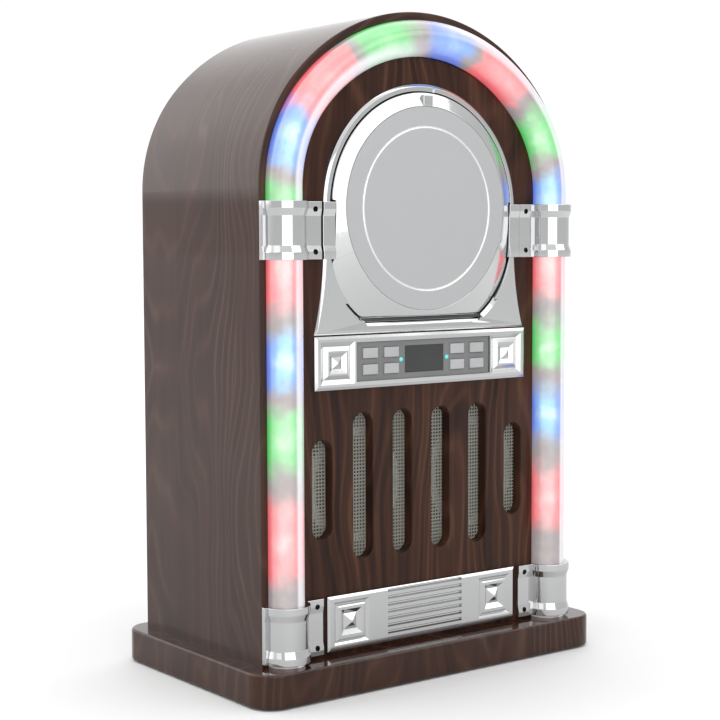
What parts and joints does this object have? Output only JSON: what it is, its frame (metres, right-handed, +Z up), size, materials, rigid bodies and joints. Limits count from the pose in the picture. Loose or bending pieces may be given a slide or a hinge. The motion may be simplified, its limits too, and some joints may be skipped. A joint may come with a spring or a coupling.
{
  "type": "jukebox",
  "caption": "Table-top CD jukebox with an arched walnut cabinet, lit colour-changing tubes, chrome trim, a front-loading CD door and slotted speaker grille.",
  "frame": {"origin": "on the floor under the middle of the plinth", "axes": "+Z up, the front with the CD door faces -Y, +X to the right seen from the front"},
  "size_m": [0.295, 0.182, 0.4514],
  "materials": {
    "walnut": "high-gloss walnut foil",
    "hardboard": "dark hardboard",
    "softwood": "bare softwood",
    "rubber": "moulded",
    "chrome": "vacuum-plated plastic",
    "satin_silver": "satin silver",
    "inlay_grey": "satin grey",
    "button_grey": "satin silver-grey",
    "smoked_window": "smoked acrylic",
    "frosted_tube": "frosted translucent acrylic",
    "lamp": "lit cyan",
    "mesh": "painted expanded metal",
    "steel": "zinc plated",
    "black_steel": "black zinc",
    "black_plastic": "moulded",
    "dark_plastic": "moulded",
    "white_plastic": "moulded",
    "paper": "doped paper cone",
    "board_green": "solder mask",
    "lens": "polished",
    "magnet": "ferrite"
  },
  "bodies": {
    "cabinet": {"plinth": "walnut", "rubber_feet": "rubber", "cabinet_shell": "walnut", "front_baffle": "walnut", "glue_blocks": "softwood", "base_screws": "steel", "rear_panel": "hardboard", "rear_panel_screws": "black_steel", "grille_mesh": "mesh", "speaker_baskets": "steel", "speaker_cones": "paper", "speaker_magnets": "magnet", "tube_arch": "frosted_tube", "tube_left": "frosted_tube", "tube_right": "frosted_tube", "led_strips": "white_plastic", "clamp_upper_left": "chrome", "clamp_upper_right": "chrome", "clamp_lower_left": "chrome", "clamp_lower_right": "chrome", "clamp_screws": "black_steel", "cd_bezel": "chrome", "door_hinge_pins": "steel", "door_catch": "steel", "cd_well": "dark_plastic", "mech_chassis": "steel", "mech_grommets": "rubber", "mech_screws": "steel", "spindle_motor": "steel", "sled_rails": "steel", "sled_motor": "steel", "control_fascia": "chrome", "fascia_inlay": "inlay_grey", "display_window": "smoked_window", "lcd_module": "dark_plastic", "indicator_lamps": "lamp", "control_board": "board_green", "inner_screws": "steel", "lower_plate": "chrome", "main_board": "board_green", "board_standoffs": "white_plastic", "transformer": "steel", "connector_plate": "black_plastic", "rear_sockets": "black_plastic"},
    "cd_door": {"cd_door_shell": "chrome", "cd_door_disc": "satin_silver"},
    "turntable": {"turntable_hub": "black_plastic", "spindle_shaft": "steel"},
    "laser_sled": {"laser_sled": "black_plastic", "pickup_lens": "lens"},
    "lead_screw": {"lead_screw": "steel"},
    "power_rocker": {"power_rocker": "black_plastic"},
    "button_1": {"button_1": "button_grey"},
    "button_2": {"button_2": "button_grey"},
    "button_3": {"button_3": "button_grey"},
    "button_4": {"button_4": "button_grey"},
    "button_5": {"button_5": "button_grey"},
    "button_6": {"button_6": "button_grey"},
    "button_7": {"button_7": "button_grey"},
    "button_8": {"button_8": "button_grey"}
  },
  "joints": [
    {"name": "cd_door_hinge", "type": "hinge", "parent": "cabinet", "child": "cd_door", "pos_m": [0, -0.0665, 0.2492], "axis": [1, 0, 0], "range_deg": [0, 35]},
    {"name": "turntable_spin", "type": "hinge", "parent": "cabinet", "child": "turntable", "pos_m": [0, -0.052, 0.3195], "axis": [0, -1, 0], "continuous": true},
    {"name": "laser_sled_slide", "type": "slide", "parent": "cabinet", "child": "laser_sled", "axis": [1, 0, 0], "range_m": [0, 0.034]},
    {"name": "lead_screw_turn", "type": "hinge", "parent": "cabinet", "child": "lead_screw", "pos_m": [0.0442, -0.037, 0.2965], "axis": [1, 0, 0], "range_deg": [0, 4080]},
    {"name": "power_rocker_tilt", "type": "hinge", "parent": "cabinet", "child": "power_rocker", "pos_m": [0, 0.0745, 0.07], "axis": [0, 0, 1], "range_deg": [0, 18]},
    {"name": "button_1_press", "type": "slide", "parent": "cabinet", "child": "button_1", "axis": [0, 1, 0], "range_m": [0, 0.0008], "stiffness_N_per_m": 900, "springref_m": -0.0006},
    {"name": "button_2_press", "type": "slide", "parent": "cabinet", "child": "button_2", "axis": [0, 1, 0], "range_m": [0, 0.0008], "stiffness_N_per_m": 900, "springref_m": -0.0006},
    {"name": "button_3_press", "type": "slide", "parent": "cabinet", "child": "button_3", "axis": [0, 1, 0], "range_m": [0, 0.0008], "stiffness_N_per_m": 900, "springref_m": -0.0006},
    {"name": "button_4_press", "type": "slide", "parent": "cabinet", "child": "button_4", "axis": [0, 1, 0], "range_m": [0, 0.0008], "stiffness_N_per_m": 900, "springref_m": -0.0006},
    {"name": "button_5_press", "type": "slide", "parent": "cabinet", "child": "button_5", "axis": [0, 1, 0], "range_m": [0, 0.0008], "stiffness_N_per_m": 900, "springref_m": -0.0006},
    {"name": "button_6_press", "type": "slide", "parent": "cabinet", "child": "button_6", "axis": [0, 1, 0], "range_m": [0, 0.0008], "stiffness_N_per_m": 900, "springref_m": -0.0006},
    {"name": "button_7_press", "type": "slide", "parent": "cabinet", "child": "button_7", "axis": [0, 1, 0], "range_m": [0, 0.0008], "stiffness_N_per_m": 900, "springref_m": -0.0006},
    {"name": "button_8_press", "type": "slide", "parent": "cabinet", "child": "button_8", "axis": [0, 1, 0], "range_m": [0, 0.0008], "stiffness_N_per_m": 900, "springref_m": -0.0006}
  ],
  "couplings": [
    {"joint": "lead_screw_turn", "follows": "laser_sled_slide", "rad_per_m": 2094.4}
  ]
}
